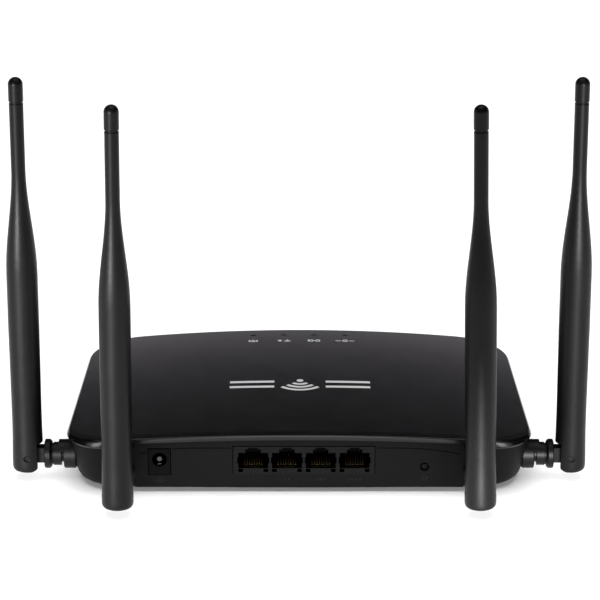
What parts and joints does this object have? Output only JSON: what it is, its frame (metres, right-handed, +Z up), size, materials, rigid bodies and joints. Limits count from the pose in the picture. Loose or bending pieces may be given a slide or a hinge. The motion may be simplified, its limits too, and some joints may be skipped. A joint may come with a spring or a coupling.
{
  "type": "wireless router",
  "caption": "Desktop wireless router in a low case, with folding swivel antennas at its rear and sides and a recessed rear panel of network sockets, power inlet and reset button.",
  "frame": {"origin": "on the table under the middle of the whole router, antennas upright", "axes": "+X to the right seen from the front, where the status lights are; +Y towards the rear panel; +Z up"},
  "size_m": [0.2398, 0.1458, 0.1743],
  "materials": {
    "tray_plastic": "fine matte moulded texture",
    "frame_gloss": "polished black",
    "plate_plastic": "very fine matte texture",
    "antenna_plastic": "satin moulded",
    "jack_plastic": "moulded",
    "chip_plastic": "moulded epoxy",
    "button_plastic": "moulded",
    "foot_rubber": "matte",
    "label_film": "blank film",
    "clear_guide": "clear moulded",
    "board_laminate": "green solder mask",
    "steel": "plated",
    "sheet_steel": "tinned sheet",
    "aluminium": "extruded",
    "brass": "turned",
    "gold_contact": "gold plated",
    "cable_jacket": "coaxial cable",
    "capacitor_sleeve": "shrink sleeve",
    "ferrite": "ferrite"
  },
  "bodies": {
    "case": {"base_tray": "tray_plastic", "cover_frame": "frame_gloss", "top_plate": "plate_plastic", "rubber_feet": "foot_rubber", "case_screws": "steel", "blank_label": "label_film", "light_guides": "clear_guide", "status_leds": "clear_guide", "main_board": "board_laminate", "board_screws": "steel", "processor": "chip_plastic", "memory_chips": "chip_plastic", "heat_sink": "aluminium", "radio_shields": "sheet_steel", "network_transformers": "chip_plastic", "power_capacitors": "capacitor_sleeve", "power_coils": "ferrite", "crystals": "sheet_steel", "network_sockets": "jack_plastic", "network_contacts": "gold_contact", "power_inlet": "jack_plastic", "power_pin": "steel", "power_spring": "steel", "switch_body": "chip_plastic", "switch_dome": "steel", "board_connectors": "gold_contact", "antenna_cables": "cable_jacket", "antenna_nuts": "brass", "socket_rear_left": "antenna_plastic", "socket_rear_right": "antenna_plastic", "socket_side_left": "antenna_plastic", "socket_side_right": "antenna_plastic"},
    "reset_button": {"reset_button": "button_plastic"},
    "knuckle_rear_left": {"knuckle_rear_left": "antenna_plastic", "clip_rear_left": "steel"},
    "antenna_rear_left": {"sleeve_rear_left": "antenna_plastic", "tip_rear_left": "antenna_plastic", "pin_rear_left": "steel", "radiator_rear_left": "brass"},
    "knuckle_rear_right": {"knuckle_rear_right": "antenna_plastic", "clip_rear_right": "steel"},
    "antenna_rear_right": {"sleeve_rear_right": "antenna_plastic", "tip_rear_right": "antenna_plastic", "pin_rear_right": "steel", "radiator_rear_right": "brass"},
    "knuckle_side_left": {"knuckle_side_left": "antenna_plastic", "clip_side_left": "steel"},
    "antenna_side_left": {"sleeve_side_left": "antenna_plastic", "tip_side_left": "antenna_plastic", "pin_side_left": "steel", "radiator_side_left": "brass"},
    "knuckle_side_right": {"knuckle_side_right": "antenna_plastic", "clip_side_right": "steel"},
    "antenna_side_right": {"sleeve_side_right": "antenna_plastic", "tip_side_right": "antenna_plastic", "pin_side_right": "steel", "radiator_side_right": "brass"}
  },
  "joints": [
    {"name": "reset_button_press", "type": "slide", "parent": "case", "child": "reset_button", "axis": [0, -1, 0], "range_m": [0, 0.0005], "stiffness_N_per_m": 1500, "springref_m": -0.0003},
    {"name": "swivel_rear_left", "type": "hinge", "parent": "case", "child": "knuckle_rear_left", "pos_m": [-0.07375, 0.0464, 0.0108], "axis": [0, 1, 0], "range_deg": [-90, 53]},
    {"name": "tilt_rear_left", "type": "hinge", "parent": "knuckle_rear_left", "child": "antenna_rear_left", "pos_m": [-0.07375, 0.0664, 0.0108], "axis": [-0.9998, 0, 0.0192], "range_deg": [0, 90]},
    {"name": "swivel_rear_right", "type": "hinge", "parent": "case", "child": "knuckle_rear_right", "pos_m": [0.07375, 0.0464, 0.0108], "axis": [0, 1, 0], "range_deg": [-53, 90]},
    {"name": "tilt_rear_right", "type": "hinge", "parent": "knuckle_rear_right", "child": "antenna_rear_right", "pos_m": [0.07375, 0.0664, 0.0108], "axis": [-1, 0, -0.0061], "range_deg": [0, 90]},
    {"name": "swivel_side_left", "type": "hinge", "parent": "case", "child": "knuckle_side_left", "pos_m": [-0.0934, 0.028, 0.0108], "axis": [-1, 0, 0], "range_deg": [-90, 90]},
    {"name": "tilt_side_left", "type": "hinge", "parent": "knuckle_side_left", "child": "antenna_side_left", "pos_m": [-0.1134, 0.028, 0.0108], "axis": [0, -1, 0], "range_deg": [0, 90]},
    {"name": "swivel_side_right", "type": "hinge", "parent": "case", "child": "knuckle_side_right", "pos_m": [0.0934, 0.028, 0.0108], "axis": [1, 0, 0], "range_deg": [-90, 90]},
    {"name": "tilt_side_right", "type": "hinge", "parent": "knuckle_side_right", "child": "antenna_side_right", "pos_m": [0.1134, 0.028, 0.0108], "axis": [0, 1, 0], "range_deg": [0, 90]}
  ]
}
